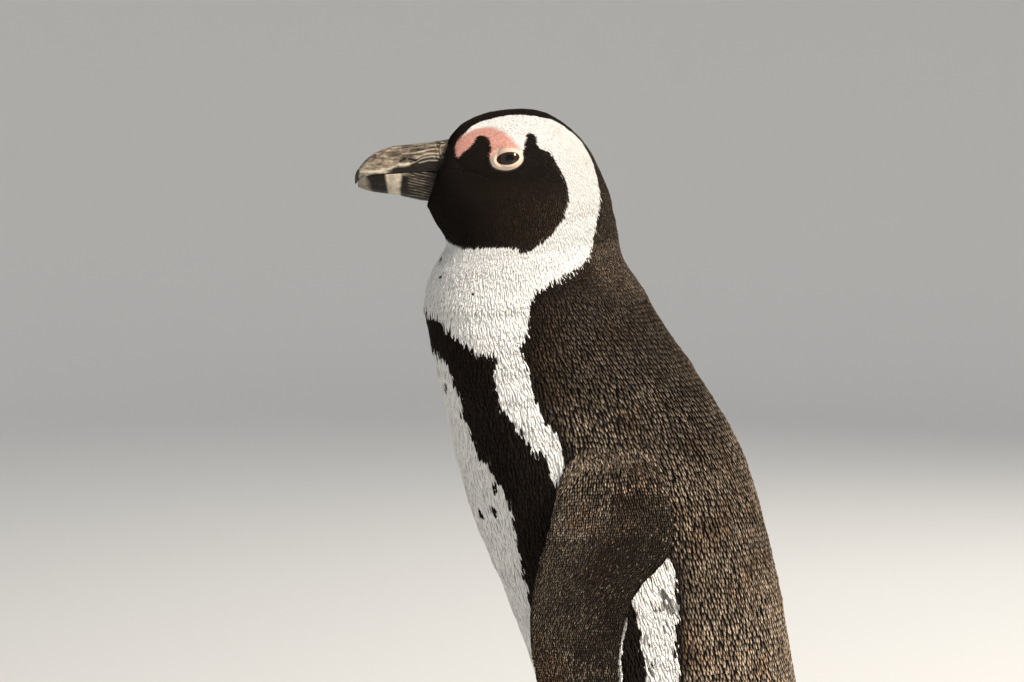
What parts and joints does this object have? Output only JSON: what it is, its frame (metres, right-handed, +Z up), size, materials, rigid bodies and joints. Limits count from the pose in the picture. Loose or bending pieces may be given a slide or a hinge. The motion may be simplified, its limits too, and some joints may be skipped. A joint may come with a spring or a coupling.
{
  "type": "african penguin",
  "caption": "Life-size still model of a standing African penguin, with black and white plumage, flippers at its sides and webbed feet flat on the floor.",
  "frame": {"origin": "centre of the bounding box at the level of the soles", "axes": "+Z up; the bird faces -Y and its left side is at +X"},
  "size_m": [0.1674, 0.2924, 0.5221],
  "materials": {
    "black_plumage": "small overlapping feathers, satin",
    "white_plumage": "small overlapping feathers, matte",
    "bill_horn": "worn horn, satin",
    "foot_skin": "scaly skin, matte",
    "claw_horn": "horn, satin",
    "eye": "wet, glossy"
  },
  "bodies": {
    "root": {"head": "black_plumage", "neck": "white_plumage", "trunk": "black_plumage", "tail": "black_plumage", "flipper_left": "black_plumage", "flipper_right": "black_plumage", "leg_left": "white_plumage", "leg_right": "white_plumage", "foot_left": "foot_skin", "foot_right": "foot_skin", "bill_upper": "bill_horn", "bill_lower": "bill_horn", "eye_left": "eye", "eye_right": "eye", "claw_inner_left": "claw_horn", "claw_inner_right": "claw_horn", "claw_middle_left": "claw_horn", "claw_middle_right": "claw_horn", "claw_outer_left": "claw_horn", "claw_outer_right": "claw_horn", "claw_hallux_left": "claw_horn", "claw_hallux_right": "claw_horn"}
  },
  "joints": []
}
